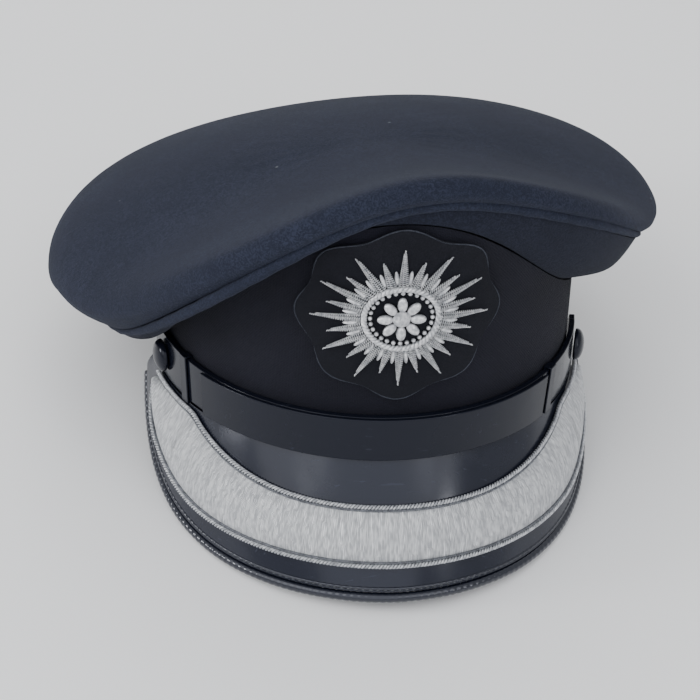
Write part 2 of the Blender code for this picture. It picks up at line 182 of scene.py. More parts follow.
# %% Node group: nap
HAIR_SCALE, HAIR_HEIGHT = 0.32, 0.45
CLOUDS, SPECKS, RARE_SPECKS = 26.0, 62.0, 0.62
nap, taken, given = group("nap", [("Vector", "Vector", None), ("Fibre", "Float", 0.0004)],
                          ["Height", "Cloud", "Lint"])
fineness = math_node(nap, "DIVIDE", 1.0, taken["Fibre"])
grain = add(nap, "TexNoise", {"Vector": taken["Vector"], "Scale": fineness, "Detail": 3.0,
                              "Roughness": 0.65})[0]
hair_scale = math_node(nap, "MULTIPLY", fineness, HAIR_SCALE)
hairs = add(nap, "TexNoise", {"Vector": taken["Vector"], "Scale": hair_scale, "Detail": 2.0,
                              "Distortion": 2.4})[0]
strong_hairs = ramp(nap, hairs, low=0.42, high=0.66)
nap.links.new(math_node(nap, "MULTIPLY_ADD", strong_hairs, HAIR_HEIGHT, grain), given["Height"])
cloud = add(nap, "TexNoise", {"Vector": taken["Vector"], "Scale": CLOUDS, "Detail": 5.0,
                              "Roughness": 0.62})[0]
nap.links.new(ramp(nap, cloud, low=0.32, high=0.70), given["Cloud"])
spots = add(nap, "TexVoronoi", {"Vector": taken["Vector"], "Scale": SPECKS}, feature="F1")
near = ramp(nap, spots["Distance"], low=0.022, high=0.056, start=1.0, end=0.0)
chosen = add(nap, "SeparateColor", {"Color": spots["Color"]})[0]
rare = math_node(nap, "GREATER_THAN", chosen, RARE_SPECKS)
nap.links.new(math_node(nap, "MULTIPLY", near, rare), given["Lint"])
print("made", nap.name)

# %% [markdown]
# Plain weave is over and under threads in two directions. Two sine waves give the two sets of
# threads and their product decides which one is on top. The pattern reads a map laid round the
# band in metres, so the threads follow the cloth.

# %% Node group: weave
weave, taken, given = group("weave", [("Vector", "Vector", None), ("Thread", "Float", 0.0006)],
                            ["Height"])
place = add(weave, "SeparateXYZ", {"Vector": taken["Vector"]})
waves = []
for axis in (0, 1):
    count = math_node(weave, "DIVIDE", place[axis], taken["Thread"])
    waves.append(math_node(weave, "SINE", math_node(weave, "MULTIPLY", count, math.pi)))
crossing = math_node(weave, "MULTIPLY", waves[0], waves[1])
weft = math_node(weave, "ABSOLUTE", waves[0])
warp = math_node(weave, "ABSOLUTE", waves[1])
on_top = ramp(weave, crossing, low=-0.2, high=0.2)
weave.links.new(add(weave, "Mix", {0: on_top, 2: weft, 3: warp})[0], given["Height"])
print("made", weave.name)

# %% [markdown]
# Satin stitch is thread after thread laid side by side across the shape. Its map runs along the
# embroidery in metres and across it from 0 to 1. Each thread is a rounded ridge, no two threads
# have quite the same lightness, and they wander a little where the needle went in.

# %% Node group: threads
SWAY_ALONG, SWAY_ACROSS = 260.0, 0.9
TONE_ACROSS, TONE_SCALE, TONE_HEIGHT, ROUNDNESS = 3.0, 1.7, 0.8, 0.6
threads, taken, given = group("threads", [("Vector", "Vector", None), ("Thread", "Float", 0.0005),
                                          ("Wander", "Float", 0.0004)], ["Height", "Tone"])
place = add(threads, "SeparateXYZ", {"Vector": taken["Vector"]})
stretched = add(threads, "CombineXYZ", {
    "X": math_node(threads, "MULTIPLY", place[0], SWAY_ALONG),
    "Y": math_node(threads, "MULTIPLY", place[1], SWAY_ACROSS)})[0]
sway = add(threads, "TexNoise", {"Vector": stretched, "Scale": 1.0, "Detail": 2.0})[0]
moved = math_node(threads, "MULTIPLY_ADD", sway, taken["Wander"], place[0])
number = math_node(threads, "DIVIDE", moved, taken["Thread"])
share = math_node(threads, "FRACT", number)
ridge = math_node(threads, "SINE", math_node(threads, "MULTIPLY", share, math.pi))
rounded = math_node(threads, "POWER", ridge, ROUNDNESS)
along = add(threads, "CombineXYZ", {
    "X": math_node(threads, "FLOOR", number),
    "Y": math_node(threads, "MULTIPLY", place[1], TONE_ACROSS)})[0]
tone = add(threads, "TexNoise", {"Vector": along, "Scale": TONE_SCALE, "Detail": 1.0})[0]
threads.links.new(math_node(threads, "MULTIPLY_ADD", tone, TONE_HEIGHT, rounded), given["Height"])
threads.links.new(ramp(threads, tone, low=0.3, high=0.7), given["Tone"])
print("made", threads.name)

# %% [markdown]
# Polished leather is never perfectly even. It has a slow swell from the hide below, the very fine
# pebble of its lacquer, and dust or hairline scuffs that make small patches less glossy.

# %% Node group: lacquer
PEBBLE_HEIGHT = 0.05
lacquer, taken, given = group("lacquer", [("Vector", "Vector", None)], ["Height", "Dull", "Scuff"])
swell = add(lacquer, "TexNoise", {"Vector": taken["Vector"], "Scale": 55.0, "Detail": 1.0})[0]
pebble = add(lacquer, "TexNoise", {"Vector": taken["Vector"], "Scale": 900.0, "Detail": 2.0})[0]
lacquer.links.new(math_node(lacquer, "MULTIPLY_ADD", pebble, PEBBLE_HEIGHT, swell), given["Height"])
haze = add(lacquer, "TexNoise", {"Vector": taken["Vector"], "Scale": 38.0, "Detail": 6.0,
                                 "Roughness": 0.7})[0]
lacquer.links.new(ramp(lacquer, haze, low=0.42, high=0.72), given["Dull"])
strip = add(lacquer, "Mapping", {"Vector": taken["Vector"], "Rotation": (0.3, 0.2, 0.9),
                                 "Scale": (60.0, 900.0, 500.0)})[0]
streaks = add(lacquer, "TexNoise", {"Vector": strip, "Scale": 1.0, "Detail": 2.0})[0]
lacquer.links.new(ramp(lacquer, streaks, low=0.66, high=0.74), given["Scuff"])
print("made", lacquer.name)

# %% [markdown]
# Each finish is one Principled material. What is the same all over the surface is set on the
# shader itself. What changes over the surface comes from the groups, by colour, roughness and
# bump.

# %% Helpers for finishes
def finish(name, **constants):
    """A new material: its tree, its shader's inputs, and the coordinates that patterns read."""
    made = bpy.data.materials.new(name)
    made.use_nodes = True
    tree = made.node_tree
    shader = tree.nodes["Principled BSDF"]
    for key, value in constants.items():
        shader.inputs[key.replace("_", " ")].default_value = value
    place = tree.nodes.new("ShaderNodeTexCoord").outputs
    return made, tree, shader.inputs, place


def bumped(tree, shader, height, distance, strength=1.0):
    made = add(tree, "Bump", {"Height": height, "Distance": distance, "Strength": strength})[0]
    tree.links.new(made, shader["Normal"])


print("materials so far", len(bpy.data.materials))

# %% [markdown]
# Wool and felt scatter light softly, so they are rough, with a low sheen and a shallow bump of
# fibres. Navy wool covers the crown, and a darker one, with painted shade, the quarters below it.
# Black felt backs the badge, with a paler one, a painted highlight, for its cut edge.

# %% Wool and felt
FIBRE_DEPTH, FIBRE_STRENGTH, SHADE_BETWEEN_FIBRES = 0.0008, 0.32, 0.70
PALE_LINT, DULL_LINT = opaque(0.11, 0.115, 0.13), opaque(0.06, 0.06, 0.07)


def wool(name, dark, light, fibre, sheen, lint=PALE_LINT):
    """Milled wool or felt, from its darkest and its lightest colour and the width of its fibres."""
    made, tree, shader, place = finish(name, Roughness=0.95, Sheen_Weight=sheen,
                                       Sheen_Roughness=0.5, Sheen_Tint=opaque(0.60, 0.66, 0.80),
                                       Specular_IOR_Level=0.2)
    fibres = linked(tree, nap, Vector=place["Object"], Fibre=fibre)
    tone = blend_colour(tree, fibres["Cloud"], dark, light)
    grain = ramp(tree, fibres["Height"], low=0.35, high=1.0)
    # Painted shade: the low fibres of the nap are darkened, as if shaded by the higher ones.
    nap_hollow_shade = blend_colour(tree, grain, shaded(dark, SHADE_BETWEEN_FIBRES), tone)
    tree.links.new(blend_colour(tree, fibres["Lint"], nap_hollow_shade, lint), shader["Base Color"])
    bumped(tree, shader, fibres["Height"], FIBRE_DEPTH, FIBRE_STRENGTH)
    return made


navy_wool = wool("navy_wool", opaque(0.0162, 0.0198, 0.0355), opaque(0.0238, 0.0284, 0.0492),
                 fibre=0.00060, sheen=0.02)
# Painted shade: the quarters' wool is darker because the roll shades them.
shaded_quarter_wool = wool("shaded_quarter_wool", opaque(0.0112, 0.0134, 0.0238), opaque(0.0162, 0.0190, 0.0328),
                  fibre=0.00060, sheen=0.02)
black_felt = wool("black_felt", opaque(0.0070, 0.0075, 0.0115), opaque(0.0110, 0.0115, 0.0170),
                  fibre=0.00030, sheen=0.02, lint=DULL_LINT)
# Painted highlight: a paler felt for the cut edge, where light catches it.
painted_highlight_felt = wool("painted_highlight_felt", opaque(0.045, 0.050, 0.066), opaque(0.085, 0.092, 0.115),
                 fibre=0.00030, sheen=0.05)
print("made", navy_wool.name, shaded_quarter_wool.name, black_felt.name, painted_highlight_felt.name)

# %% [markdown]
# The band's cloth is a fine plain weave, nearly black. The gaps between its threads are painted
# darker than the threads, as painted shade, and a little fuzz from the nap lies over them, so it
# doesn't look like a printed grid.

# %% Band cloth
CLOTH_THREAD, CLOTH_FIBRE, CLOTH_FUZZ, CLOTH_DEPTH = 0.0006, 0.00035, 0.5, 0.00022
THREAD_DARK, THREAD_LIGHT = opaque(0.0074, 0.0077, 0.0145), opaque(0.0116, 0.0119, 0.0220)
# Painted shade: the gaps between the threads are darkened.
SHADED_THREAD_GAP = opaque(0.0039, 0.0041, 0.0076)
black_cloth, tree, shader, place = finish("black_cloth", Roughness=0.9, Sheen_Weight=0.02,
                                          Sheen_Roughness=0.4, Specular_IOR_Level=0.2)
cloth = linked(tree, weave, Vector=place["UV"], Thread=CLOTH_THREAD)
fibres = linked(tree, nap, Vector=place["Object"], Fibre=CLOTH_FIBRE)
tone = blend_colour(tree, fibres["Cloud"], THREAD_DARK, THREAD_LIGHT)
tree.links.new(blend_colour(tree, cloth["Height"], SHADED_THREAD_GAP, tone), shader["Base Color"])
fuzzy = math_node(tree, "MULTIPLY_ADD", fibres["Height"], CLOTH_FUZZ, cloth["Height"])
bumped(tree, shader, fuzzy, CLOTH_DEPTH)
print("made", black_cloth.name)

# %% [markdown]
# Patent leather is a dark hide under clear lacquer. The hide is the base, the lacquer is a Coat,
# and a slightly blue specular tint keeps its black cold. The rim has the most gloss, because it is
# rolled tight. The strap has the least, because it is bent and handled most.

# %% Patent leather
SCUFF_PALER, SCUFF_PLUS, SCUFF_ROUGH = 1.6, 0.002, 0.12
LACQUER_DEPTH, LACQUER_STRENGTH = 0.0006, 0.35


def patent(name, colour, gloss, haze, coat, level):
    """Lacquered leather: gloss is its roughness where clean, and haze is what dust adds to that."""
    made, tree, shader, place = finish(name, IOR=1.5, Coat_Weight=coat, Coat_Roughness=0.13,
                                       Specular_IOR_Level=level,
                                       Specular_Tint=opaque(0.86, 0.89, 1.0))
    skin = linked(tree, lacquer, Vector=place["Object"])
    pale = shaded(colour, SCUFF_PALER, SCUFF_PLUS)
    tree.links.new(blend_colour(tree, skin["Scuff"], colour, pale), shader["Base Color"])
    dusty = ramp(tree, skin["Dull"], low=0.0, high=1.0, start=gloss, end=gloss + haze)
    scuffed = math_node(tree, "MULTIPLY_ADD", skin["Scuff"], SCUFF_ROUGH, dusty)
    tree.links.new(scuffed, shader["Roughness"])
    bumped(tree, shader, skin["Height"], LACQUER_DEPTH, LACQUER_STRENGTH)
    return made


peak_patent = patent("peak_patent", opaque(0.0065, 0.0080, 0.0155),
                     gloss=0.20, haze=0.10, coat=0.22, level=0.38)
rim_patent = patent("rim_patent", opaque(0.0060, 0.0074, 0.0140),
                    gloss=0.12, haze=0.08, coat=0.50, level=0.50)
strap_patent = patent("strap_patent", opaque(0.0055, 0.0066, 0.0120),
                      gloss=0.15, haze=0.08, coat=0.08, level=0.21)
print("made", peak_patent.name, rim_patent.name, strap_patent.name)

# %% [markdown]
# Silver embroidery is metal foil round a soft core, so it is only partly metallic. The wide band
# takes its threads from a map. Where the strands are modelled one by one, as on the cords and the
# badge, a fine tarnish between light and dark is enough.

# %% Silver thread
LAID_SPACING, LAID_WANDER, LAID_DEPTH, LAID_SPREAD = 0.00055, 0.0004, 0.00030, 0.12
TARNISH_SCALE, TARNISH_DEPTH, TARNISH_SPREAD = 700.0, 0.00012, 0.15


def silver(name, dark, light, rough, metal):
    """Satin stitch: the dark threads are the rougher ones."""
    made, tree, shader, place = finish(name, Metallic=metal)
    laid = linked(tree, threads, Vector=place["UV"], Thread=LAID_SPACING, Wander=LAID_WANDER)
    tree.links.new(blend_colour(tree, laid["Tone"], dark, light), shader["Base Color"])
    uneven = ramp(tree, laid["Tone"], low=0.0, high=1.0, start=rough + LAID_SPREAD, end=rough)
    tree.links.new(uneven, shader["Roughness"])
    bumped(tree, shader, laid["Height"], LAID_DEPTH)
    return made


def wire(name, dark, light, rough, metal):
    """Metal thread seen as thin round strands, tarnished a little between them."""
    made, tree, shader, place = finish(name, Metallic=metal)
    spots = add(tree, "TexNoise", {"Vector": place["Object"], "Scale": TARNISH_SCALE,
                                   "Detail": 3.0})[0]
    clean = ramp(tree, spots, low=0.3, high=0.7)
    tree.links.new(blend_colour(tree, clean, dark, light), shader["Base Color"])
    uneven = ramp(tree, spots, low=0.3, high=0.7, start=rough + TARNISH_SPREAD, end=rough)
    tree.links.new(uneven, shader["Roughness"])
    bumped(tree, shader, spots, TARNISH_DEPTH)
    return made


satin_silver = silver("satin_silver", opaque(0.42, 0.43, 0.45), opaque(0.74, 0.75, 0.76),
                      rough=0.42, metal=0.25)
cord_silver = wire("cord_silver", opaque(0.30, 0.31, 0.33), opaque(0.62, 0.63, 0.65),
                   rough=0.36, metal=0.45)
bed_silver = wire("bed_silver", opaque(0.08, 0.085, 0.095), opaque(0.18, 0.19, 0.21),
                  rough=0.45, metal=0.30)
badge_silver = wire("badge_silver", opaque(0.42, 0.43, 0.45), opaque(0.78, 0.78, 0.79),
                    rough=0.30, metal=0.65)
stitch_thread = wire("stitch_thread", opaque(0.012, 0.014, 0.020), opaque(0.050, 0.055, 0.065),
                     rough=0.16, metal=0.0)
print("materials", sorted(m.name for m in bpy.data.materials if m.use_nodes))

# %% [markdown]
# Operators act on whatever is selected, so each step starts by picking exactly one piece. A solid
# of the frame is a shell of loose triangles: the copy is merged, its triangles are joined to
# quads, its sharp rims are creased, and a Subdivision Surface then rounds what lies between the
# rims.

# %% Helpers for pieces
MERGE_DISTANCE = 1e-6
SHARP, SMOOTH_UNDER = math.radians(50), math.radians(60)


def pick(piece):
    """Makes the piece the only thing that the next operator acts on."""
    bpy.ops.object.select_all(action="DESELECT")
    piece.select_set(True)
    bpy.context.view_layer.objects.active = piece


def keep(piece, finish, slot, *nodes):
    """Finishes a piece: its material, the solids it stands for, and its body. The slot is not used.
    """
    piece.data.materials.clear()
    piece.data.materials.append(finish)
    if nodes:
        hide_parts(*nodes)
    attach(piece, "root")
    print(piece.name, len(piece.data.polygons), "faces")


def smooth_copy(node, name, levels, crease=1.0):
    """A merged copy of a solid, its sharp rims creased, rounded as often as levels says."""
    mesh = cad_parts[node].data.copy()
    piece = bpy.data.objects.new(name, mesh)
    bpy.context.collection.objects.link(piece)
    pick(piece)
    bpy.ops.mesh.customdata_custom_splitnormals_clear()
    bpy.ops.object.mode_set(mode="EDIT")
    bpy.ops.mesh.select_all(action="SELECT")
    bpy.ops.mesh.remove_doubles(threshold=MERGE_DISTANCE)
    bpy.ops.mesh.tris_convert_to_quads(face_threshold=math.pi, shape_threshold=math.pi)
    bpy.ops.mesh.select_all(action="DESELECT")
    bpy.ops.mesh.select_mode(type="EDGE")
    bpy.ops.mesh.edges_select_sharp(sharpness=SHARP)
    bpy.ops.transform.edge_crease(value=crease)
    bpy.ops.mesh.mark_sharp(clear=True)
    bpy.ops.object.mode_set(mode="OBJECT")
    if levels:
        rounding = piece.modifiers.new("rounding", "SUBSURF")
        rounding.levels = rounding.render_levels = levels
        bpy.ops.object.modifier_apply(modifier=rounding.name)
    bpy.ops.object.shade_smooth_by_angle(angle=SMOOTH_UNDER)
    return piece

# %% [markdown]
# The crown is two pieces of wool joined at the welt: the round top, which rolls over its edge, and
# the quarters below it. Both are copies of their solids, rounded twice over. The quarters lie in
# the shadow of the roll, and that shade is painted into their wool, which is a shade darker.

# %% Crown
ROUNDED_TWICE = 2
keep(smooth_copy("crown_top", "crown_cover", ROUNDED_TWICE), navy_wool, "navy_wool", "crown_top")
keep(smooth_copy("crown_quarters", "quarter_panels", ROUNDED_TWICE), shaded_quarter_wool, "navy_wool",
     "crown_quarters")

# %% [markdown]
# Cords, piping and stitches follow the tubes of the frame. A tube is a row of rings, each no wider
# than the tube is thick, so the middle of each ring gives one point of the tube's own line. A
# smooth curve through those points is then cut into even steps.

# %% Helpers for lines
RING_REACH, CURVE_CUTS, FEWEST_STEPS = 1.08, 12, 4


def tube_line(node, thick):
    """The middle line of a CAD tube, in order round the cap."""
    loose = sorted({tuple(round(c, 6) for c in v.co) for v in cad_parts[node].data.vertices})
    loose = [Vector(c) for c in loose]
    middles = []
    while loose:
        seed = loose[0]
        ring = [p for p in loose if (p - seed).length < thick * RING_REACH]
        loose = [p for p in loose if (p - seed).length >= thick * RING_REACH]
        middles.append(sum(ring, Vector()) / len(ring))
    return np.array(sorted(middles, key=round_angle))


def distance_along(line):
    """How far along a line each of its points lies, in metres."""
    return np.concatenate([[0.0], np.cumsum(np.linalg.norm(np.diff(line, axis=0), axis=1))])


def even_line(points, step, closed=False):
    """A smooth curve through the points, cut into even steps."""
    count = len(points)
    rows = []
    for k in range(count if closed else count - 1):
        if closed:
            a, b, c, d = (points[(k + n) % count] for n in (-1, 0, 1, 2))
        else:
            a, b, c, d = (points[min(max(k + n, 0), count - 1)] for n in (-1, 0, 1, 2))
        for t in np.arange(CURVE_CUTS) / CURVE_CUTS:
            rows.append(b + (c - a) * t / 2 + (2 * a - 5 * b + 4 * c - d) * t**2 / 2
                        + (3 * b - a - 3 * c + d) * t**3 / 2)
    rows.append(points[0] if closed else points[-1])
    rows = np.array(rows)
    far = distance_along(rows)
    cuts = np.linspace(0.0, far[-1], max(FEWEST_STEPS, int(round(far[-1] / step))) + 1)
    return np.stack([np.interp(cuts, far, rows[:, axis]) for axis in range(3)], -1)


TUBE_THICKNESS = {"cord_inner": 0.002, "cord_outer": 0.002, "peak_binding": 0.004, "welt": 0.003}
lines = {node: tube_line(node, thick) for node, thick in TUBE_THICKNESS.items()}
print("lengths in mm", {name: round(distance_along(line)[-1] * 1000)
                        for name, line in lines.items()})

# %% [markdown]
# Piping, a rolled edge and a thread are all round tubes along a line. A Curve with a round bevel
# draws such a tube, and is then made a mesh. A row of numbers says how full the tube is at each
# point, where it isn't even.

# %% Helpers for tubes
def tubes(name, paths, thickness, fineness, closed=False, fullness=None):
    """Round tubes along rows of points, all as one mesh. Fullness swells or narrows them."""
    curve = bpy.data.curves.new(name, "CURVE")
    curve.dimensions = "3D"
    curve.bevel_depth = thickness / 2
    curve.bevel_resolution = fineness
    curve.use_fill_caps = not closed
    for points in paths:
        spline = curve.splines.new("POLY")
        spline.points.add(len(points) - 1)
        spline.points.foreach_set("co", np.c_[points, np.ones(len(points))].ravel())
        if fullness is not None:
            spline.points.foreach_set("radius", fullness)
        spline.use_cyclic_u = closed
    piece = bpy.data.objects.new(name, curve)
    bpy.context.collection.objects.link(piece)
    pick(piece)
    bpy.ops.object.convert(target="MESH")
    bpy.ops.object.shade_smooth()
    return bpy.context.object


print("tubes can follow", sorted(lines))

# %% [markdown]
# The welt is a cord wrapped in a strip of the same wool. It hides the seam's open edges, so it is
# a closed tube round the whole crown, with the slight lumps that stitching leaves. It is fuller at
# the front and thinner at the sides. On the wearer's right front the roll sags over it, so there
# it is let out and down by a few millimetres, along a soft bell curve, until the seam shows again.

# %% Welt
WELT_THICK, WELT_STEP, WELT_FINENESS = 0.0038, 0.004, 3
LUMP_DEPTH, LUMP_RATE = 0.06, 1.9
SHOWN_MOST, SHOWN_AT, SHOWN_SPREAD = 0.0032, -0.65, 0.42
OUT_FALL, OUT_LENGTH = 1.9, 2.15
FRONT_FULLER, FRONT_SPREAD = 0.30, 0.9
SIDE_THINNER, SIDE_AT, SIDE_SPREAD = 0.50, 1.35, 0.35


def bell(angles, middle, spread):
    """1 at the middle angle, and softly down to 0 on both sides of it."""
    return np.exp(-((angles - middle) / spread) ** 2)


welt_line = even_line(lines["welt"], WELT_STEP, closed=True)[:-1]
turns = np.array([round_angle(point) for point in welt_line])
out = np.stack([np.sin(turns), -np.cos(turns), np.full(len(turns), -OUT_FALL)], -1) / OUT_LENGTH
shown = SHOWN_MOST * bell(turns, SHOWN_AT, SHOWN_SPREAD)
welt_line = welt_line + (out * shown[:, None]) @ np.array(cap.to_3x3()).T
lumps = LUMP_DEPTH * np.sin(np.arange(len(turns)) * LUMP_RATE)
full = (1.0 + FRONT_FULLER * bell(turns, 0.0, FRONT_SPREAD)
        - SIDE_THINNER * bell(np.abs(turns), SIDE_AT, SIDE_SPREAD))
welt_piping = tubes("welt_piping", [welt_line], WELT_THICK, WELT_FINENESS, closed=True,
                    fullness=full + lumps)
keep(welt_piping, navy_wool, "navy_wool", "welt")

# %% [markdown]
# The band's cloth goes once round the head. Its weave needs a map that runs round the cap, so the
# map is laid by angle and height, and the loops that cross the rear seam are put back on one side.

# %% Band
WRAP_RADIUS = 0.100


def wrap_map(piece):
    """Lays a map round the cap: across is the angle times a radius, and up is the height."""
    mesh = piece.data
    layer = mesh.uv_layers.new(name="cloth")
    for face in mesh.polygons:
        points = [mesh.vertices[index].co for index in face.vertices]
        turns = [round_angle(point) for point in points]
        if max(turns) - min(turns) > math.pi:
            turns = [turn + 2 * math.pi if turn < 0 else turn for turn in turns]
        for index, turn, point in zip(face.loop_indices, turns, points):
            layer.data[index].uv = (turn * WRAP_RADIUS, (cap_inverse @ point).z)


band_cloth = smooth_copy("band", "band_cloth", ROUNDED_TWICE)
wrap_map(band_cloth)
keep(band_cloth, black_cloth, "black_cloth", "band")

# %% [markdown]
# The peak is stiff leather with a deep polish. What makes it read as polished is a clean
# reflection, so the copy is rounded twice and its bump stays very low.

# %% Peak
keep(smooth_copy("peak", "peak_leather", ROUNDED_TWICE), peak_patent, "black_patent", "peak")

# %% [markdown]
# The rim is bound with a rolled strip of the same leather, and a second, thinner lip lies beside
# it on the peak. Every stitch draws the leather in, so both tubes narrow at each stitch and swell
# between two, and a slow unevenness keeps them from looking like beads on a string.

# %% Rolled rim
RIM_THICK, RIM_GATHER, LIP_THICK, LIP_GATHER, RIM_FINENESS = 0.0041, 0.08, 0.0015, 0.22, 4
LIP_INWARD, LIP_RISE = 0.0034, 0.0004
STITCH_STEP, STITCH_CUTS = 0.0028, 5
SLOW_SHARE, SLOW_WAVES = 0.3, ((0.4, 0.11, 0.0), (0.3, 0.047, 1.0))  # height, rate, start
SHORTENED = slice(9, -9)


def gathered(line, depth):
    """How full a rolled strip is at each point: drawn in by every stitch, and never quite even."""
    steps = np.arange(len(line))
    slow = sum(height * np.sin(steps * rate + start) for height, rate, start in SLOW_WAVES)
    drawn_in = np.abs(np.sin(math.pi * steps / STITCH_CUTS)) - 1.0
    return 1.0 + depth * drawn_in + depth * SLOW_SHARE * slow


def toward(line, target, distance):
    """Moves each point of a line some way towards the nearest point of another line."""
    moved = []
    for point in line:
        gaps = target - point
        nearest = gaps[np.argmin(np.linalg.norm(gaps, axis=1))]
        moved.append(point + nearest / np.linalg.norm(nearest) * distance)
    return np.array(moved)


outer_line = even_line(lines["cord_outer"], 0.001)
rim_line = even_line(lines["peak_binding"], STITCH_STEP / STITCH_CUTS)
peak_rim = tubes("peak_rim", [rim_line], RIM_THICK, RIM_FINENESS,
                 fullness=gathered(rim_line, RIM_GATHER))
keep(peak_rim, rim_patent, "black_patent", "peak_binding")
lip_line = toward(rim_line, outer_line, LIP_INWARD)[SHORTENED] + (0.0, 0.0, LIP_RISE)
peak_lip = tubes("peak_lip", [lip_line], LIP_THICK, RIM_FINENESS,
                 fullness=gathered(lip_line, LIP_GATHER))
keep(peak_lip, rim_patent, "black_patent")

# %% [markdown]
# Stitches, beads, leaves and petals are small and come by the dozen. Each kind is modelled once,
# as a rounded form drawn out to its own length, width and height. It is then copied to every
# place, and the copies are joined to one piece.

# %% Helpers for small forms
def rounded_form(segments, rings, half_sizes, ahead=0.0):
    """A small rounded form, given by its half sizes. It may lie some way ahead of its own place."""
    bpy.ops.mesh.primitive_uv_sphere_add(segments=segments, ring_count=rings, radius=1.0)
    made = bpy.context.object
    made.scale = half_sizes
    made.location = (ahead, 0.0, 0.0)
    bpy.ops.object.transform_apply(location=True, rotation=False, scale=True)
    return made


def repeated(name, model, places):
    """Copies of one small model, each moved to its own place, joined to one piece."""
    copies = []
    for place in places:
        mesh = model.data.copy()
        mesh.transform(place)
        item = bpy.data.objects.new(name, mesh)
        bpy.context.collection.objects.link(item)
        copies.append(item)
    bpy.data.objects.remove(model)
    pick(copies[0])
    for item in copies:
        item.select_set(True)
    bpy.ops.object.join()
    piece = bpy.context.object
    piece.name = name
    bpy.ops.object.shade_smooth()
    return piece


print("small forms are copied and joined")

# %% [markdown]
# A row of tight stitches sits in the groove between the roll and the lip. A stitch lies along the
# groove, so every place needs the groove's own direction and two more that are square to it.

# %% Rim stitches
STITCH_HALF_SIZES, STITCH_INWARD, STITCH_RISE = (0.0010, 0.0005, 0.0005), 0.0023, 0.0010
UPRIGHT_UNDER = 1e-3


def across_line(line):
    """Two unit directions square to a line at each of its points, and the line's own direction."""
    ahead = np.gradient(line, axis=0)
    ahead /= np.linalg.norm(ahead, axis=1)[:, None]
    side = np.cross(ahead, np.array([0.0, 0.0, 1.0]))
    side[np.linalg.norm(side, axis=1) < UPRIGHT_UNDER] = (1.0, 0.0, 0.0)
    side /= np.linalg.norm(side, axis=1)[:, None]
    return side, np.cross(side, ahead), ahead


def stitch_places(line, spacing):
    """A place every so often along a line: the stitch's length lies along the line."""
    path = even_line(line, spacing)
    side, lift, ahead = across_line(path)
    places = []
    for k in range(1, len(path) - 1):
        turn = Matrix((Vector(ahead[k]), Vector(side[k]), Vector(lift[k]))).transposed().to_4x4()
        places.append(Matrix.Translation(path[k]) @ turn)
    return places


stitch_line = toward(rim_line, outer_line, STITCH_INWARD)[SHORTENED] + (0.0, 0.0, STITCH_RISE)
rim_stitches = repeated("rim_stitches", rounded_form(10, 7, STITCH_HALF_SIZES),
                        stitch_places(stitch_line, STITCH_STEP))
keep(rim_stitches, stitch_thread, "black_patent")

# %% [markdown]
# The silver band on the peak is satin stitch over stiff padding.
# Its map is measured from the two cords that edge it. Across is the share of the way from the
# inner cord to the outer one, and along is the distance round the peak, so every thread runs from
# cord to cord.

# %% Embroidery
inner_line = even_line(lines["cord_inner"], 0.001)
along_outer, along_inner = distance_along(outer_line), distance_along(inner_line)
along_inner *= along_outer[-1] / along_inner[-1]
satin_band = smooth_copy("peak_embroidery", "satin_band", ROUNDED_TWICE)
mesh = satin_band.data
layer = mesh.uv_layers.new(name="threads")
points = np.array([v.co for v in mesh.vertices])
from_inner = np.linalg.norm(points[:, None] - inner_line[None], axis=2)
from_outer = np.linalg.norm(points[:, None] - outer_line[None], axis=2)
share = from_inner.min(1) / (from_inner.min(1) + from_outer.min(1))
along = ((1 - share) * along_inner[from_inner.argmin(1)]
         + share * along_outer[from_outer.argmin(1)])
for loop in mesh.loops:
    layer.data[loop.index].uv = (along[loop.vertex_index], share[loop.vertex_index])
keep(satin_band, satin_silver, "silver_thread", "peak_embroidery")

# %% [markdown]
# Both edges of the embroidery are covered by a silver cord of two strands laid in a tight twist.
# Real strands catch the light turn by turn, so they are wound as thin tubes round the cord's line.
# Inside each cord lies a thin dark bed of thread, which parts the cord from the bright satin.

# %% Cords
def wound(name, paths, radius, thickness, pitch, strands, fineness=1, per_turn=10, taper=0.0):
    """Strands wound round each of the paths, all as one mesh of thin tubes."""
    coils = []
    for points in paths:
        path = even_line(np.array(points), pitch / per_turn)
        side, lift, _ = across_line(path)
        turn = np.arange(len(path)) * 2 * math.pi / per_turn
        swing = radius * (1.0 - taper * np.linspace(0.0, 1.0, len(path)) ** 2)[:, None]
        for strand in range(strands):
            phase = (turn + 2 * math.pi * strand / strands)[:, None]
            coils.append(path + swing * (side * np.cos(phase) + lift * np.sin(phase)))
    return tubes(name, coils, thickness, fineness)


BED_INWARD = 0.00135
for name, line in (("cord_inner", inner_line), ("cord_outer", outer_line)):
    cord = wound(name + "_twist", [line[2:-2]], radius=0.00056, thickness=0.00086, pitch=0.0027,
                 strands=2, fineness=2)
    keep(cord, cord_silver, "silver_thread", name)
beds = [toward(inner_line, outer_line, BED_INWARD)[4:-4],
        toward(outer_line, inner_line, BED_INWARD)[4:-4]]
cord_beds = wound("cord_beds", beds, radius=0.00026, thickness=0.00062, pitch=0.0018, strands=2)
keep(cord_beds, bed_silver, "silver_thread")

# %% [markdown]
# The chin strap is two layers of polished leather. The faces on its back are moved in until the
# under layer sits on the band. Then a Bevel softens all long edges of the strap and its keepers.
# The domed buttons are rounded with a light crease, which leaves their rims a little soft.

# %% Strap, keepers and buttons
STRAP_SEAT, FACING_IN = 0.0009, -0.05
SOFT_WIDTH, SOFT_CUTS, STRAP_SMOOTH_UNDER = 0.00035, 3, math.radians(40)
BUTTON_CREASE = 0.3


